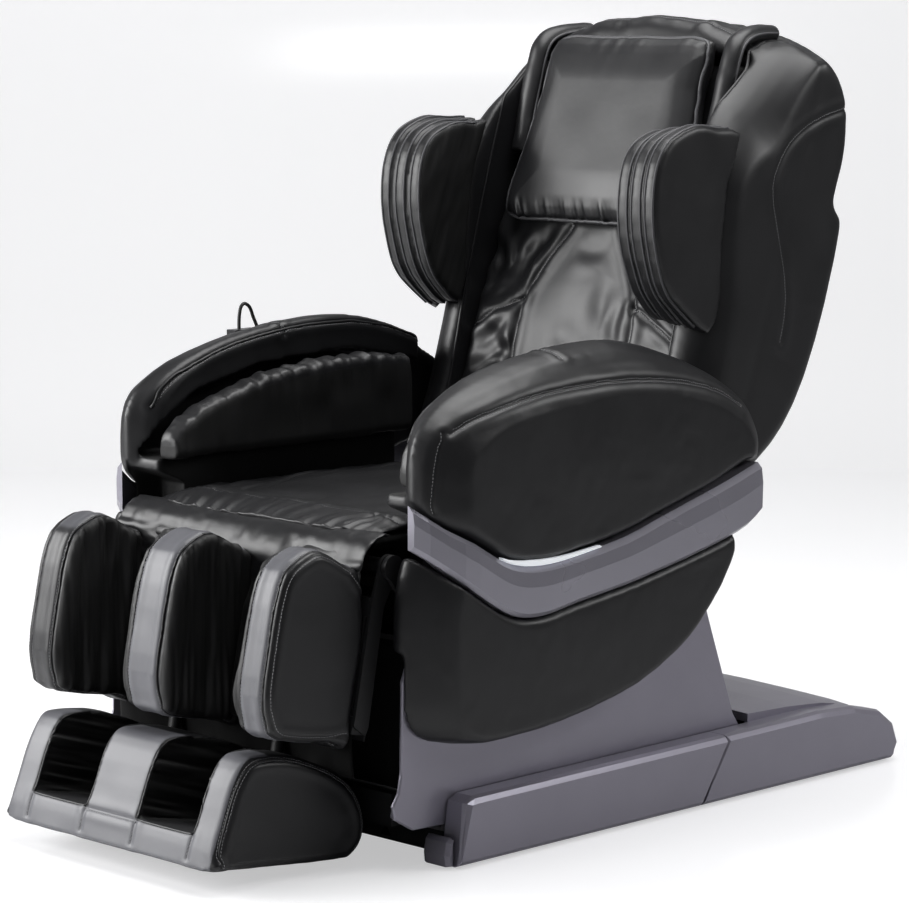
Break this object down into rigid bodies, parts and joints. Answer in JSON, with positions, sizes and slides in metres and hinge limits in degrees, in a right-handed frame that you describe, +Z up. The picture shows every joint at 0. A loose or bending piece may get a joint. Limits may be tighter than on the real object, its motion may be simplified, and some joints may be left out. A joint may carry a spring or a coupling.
{
  "type": "massage chair",
  "caption": "Reclining padded massage chair on a sliding base, with airbag arms, shoulder wings, a head pillow and a calf and foot rest that swings up.",
  "frame": {"origin": "on the floor under the middle of the base, halfway along the rails", "axes": "+X to the sitter's left, +Y to the rear, +Z up"},
  "size_m": [0.818, 1.4354, 1.2605],
  "materials": {
    "frame_steel": "black satin powder coat",
    "track_steel": "bright zinc-plated steel",
    "silver_plastic": "satin silver-lilac paint on moulded plastic",
    "trim_silver": "satin silver-grey paint",
    "black_plastic": "fine-grained black",
    "roller_nylon": "natural nylon",
    "actuator_grey": "dark grey housing",
    "rod_steel": "ground steel",
    "head_metal": "plain pressed metal",
    "massage_rubber": "soft black rubber",
    "black_leather": "black synthetic leather with a fine grain and a soft sheen",
    "black_velour": "soft black ruched cloth",
    "plywood": "bare plywood",
    "light_clear": "clear white light strip",
    "remote_black": "gloss black with grey keys",
    "cord_rubber": "smooth black sheath",
    "key_red": "dull red"
  },
  "bodies": {
    "base": {"base_frame": "frame_steel", "tracks": "track_steel", "rail_cover_left": "silver_plastic", "rail_cover_right": "silver_plastic", "rear_cover": "silver_plastic", "feet": "black_plastic", "slide_actuator": "actuator_grey"},
    "wheels": {"transport_wheels": "black_plastic"},
    "carriage": {"carriage_frame": "frame_steel", "skirt_left": "silver_plastic", "skirt_right": "silver_plastic", "slide_rod": "rod_steel", "tilt_actuator": "actuator_grey", "control_box": "black_plastic"},
    "front_rollers": {"front_rollers": "roller_nylon"},
    "rear_rollers": {"rear_rollers": "roller_nylon"},
    "tilt_rod": {"tilt_rod": "rod_steel"},
    "seat": {"seat_frame": "frame_steel", "seat_board": "plywood", "seat_cushion": "black_velour", "seat_topper": "black_leather", "knee_cover": "black_velour", "side_panel_left": "black_leather", "side_panel_right": "black_leather", "trim_left": "trim_silver", "trim_right": "trim_silver", "light_strips": "light_clear", "arm_pad_left": "black_leather", "arm_pad_right": "black_leather", "arm_cores": "plywood", "arm_airbags": "black_velour", "recline_actuator": "actuator_grey", "leg_actuator": "actuator_grey", "remote_holder": "black_plastic"},
    "recline_rod": {"recline_rod": "rod_steel"},
    "leg_rod": {"leg_rod": "rod_steel"},
    "remote": {"remote_case": "remote_black", "remote_cord": "cord_rubber"},
    "key": {"key_power": "key_red"},
    "back": {"back_frame": "frame_steel", "back_shell": "black_leather", "bolster_left": "black_leather", "bolster_right": "black_leather", "top_bolster": "black_leather", "back_pad": "black_leather", "head_pillow": "black_leather", "wing_left": "black_leather", "wing_right": "black_leather"},
    "head": {"head_carriage": "head_metal"},
    "arms": {"roller_arms": "frame_steel"},
    "rollers_upper": {"rollers_upper": "massage_rubber"},
    "rollers_lower": {"rollers_lower": "massage_rubber"},
    "leg": {"leg_frame": "frame_steel", "leg_cover": "black_plastic", "calf_left": "black_leather", "calf_middle": "black_leather", "calf_right": "black_leather", "calf_pads": "black_velour"},
    "foot": {"foot_box": "black_leather", "foot_slides": "track_steel"}
  },
  "joints": [
    {"name": "carriage_slide", "type": "slide", "parent": "base", "child": "carriage", "axis": [0, -1, 0], "range_m": [0, 0.16]},
    {"name": "wheels_spin", "type": "hinge", "parent": "base", "child": "wheels", "pos_m": [0, 0.503, 0.033], "axis": [1, 0, 0], "continuous": true},
    {"name": "front_rollers_spin", "type": "hinge", "parent": "carriage", "child": "front_rollers", "pos_m": [0, -0.325, 0.06806], "axis": [1, 0, 0], "continuous": true},
    {"name": "rear_rollers_spin", "type": "hinge", "parent": "carriage", "child": "rear_rollers", "pos_m": [0, 0.045, 0.06806], "axis": [1, 0, 0], "continuous": true},
    {"name": "seat_tilt", "type": "hinge", "parent": "carriage", "child": "seat", "pos_m": [0, -0.225, 0.3], "axis": [-1, 0, 0], "range_deg": [0, 15]},
    {"name": "tilt_rod_slide", "type": "slide", "parent": "carriage", "child": "tilt_rod", "axis": [0, 0.2907, 0.9568], "range_m": [0, 0.072]},
    {"name": "back_recline", "type": "hinge", "parent": "seat", "child": "back", "pos_m": [0, -0.01, 0.44], "axis": [-1, 0, 0], "range_deg": [0, 47]},
    {"name": "recline_rod_slide", "type": "slide", "parent": "seat", "child": "recline_rod", "axis": [0, -1, 0], "range_m": [0, 0.081]},
    {"name": "leg_lift", "type": "hinge", "parent": "seat", "child": "leg", "pos_m": [0, -0.585, 0.455], "axis": [-1, 0, 0], "range_deg": [0, 70]},
    {"name": "leg_rod_slide", "type": "slide", "parent": "seat", "child": "leg_rod", "axis": [0, -1, 0], "range_m": [0, 0.093]},
    {"name": "foot_extend", "type": "slide", "parent": "leg", "child": "foot", "axis": [0, -0.1908, -0.9816], "range_m": [0, 0.0602]},
    {"name": "remote_lift", "type": "slide", "parent": "seat", "child": "remote", "axis": [0, 0, 1], "range_m": [0, 0.08]},
    {"name": "key_press", "type": "slide", "parent": "remote", "child": "key", "axis": [1, 0, 0], "range_m": [0, 0.001], "stiffness_N_per_m": 600, "springref_m": -0.001},
    {"name": "head_travel", "type": "slide", "parent": "back", "child": "head", "axis": [0, 0.3371, 0.9415], "range_m": [-0.1, 0.33]},
    {"name": "roller_rock", "type": "hinge", "parent": "head", "child": "arms", "pos_m": [0, 0.2154, 0.67794], "axis": [1, 0, 0], "range_deg": [-6, 6]},
    {"name": "rollers_upper_spin", "type": "hinge", "parent": "arms", "child": "rollers_upper", "pos_m": [0, 0.21264, 0.75329], "axis": [1, 0, 0], "continuous": true},
    {"name": "rollers_lower_spin", "type": "hinge", "parent": "arms", "child": "rollers_lower", "pos_m": [0, 0.16545, 0.62148], "axis": [1, 0, 0], "continuous": true}
  ],
  "couplings": [
    {"joint": "front_rollers_spin", "follows": "carriage_slide", "rad_per_m": 58.824},
    {"joint": "rear_rollers_spin", "follows": "carriage_slide", "rad_per_m": 58.824},
    {"joint": "tilt_rod_slide", "follows": "seat_tilt", "m_per_rad": 0.2666},
    {"joint": "recline_rod_slide", "follows": "back_recline", "m_per_rad": 0.0919},
    {"joint": "leg_rod_slide", "follows": "leg_lift", "m_per_rad": 0.0756},
    {"joint": "foot_extend", "follows": "leg_lift", "m_per_rad": 0.0491}
  ]
}
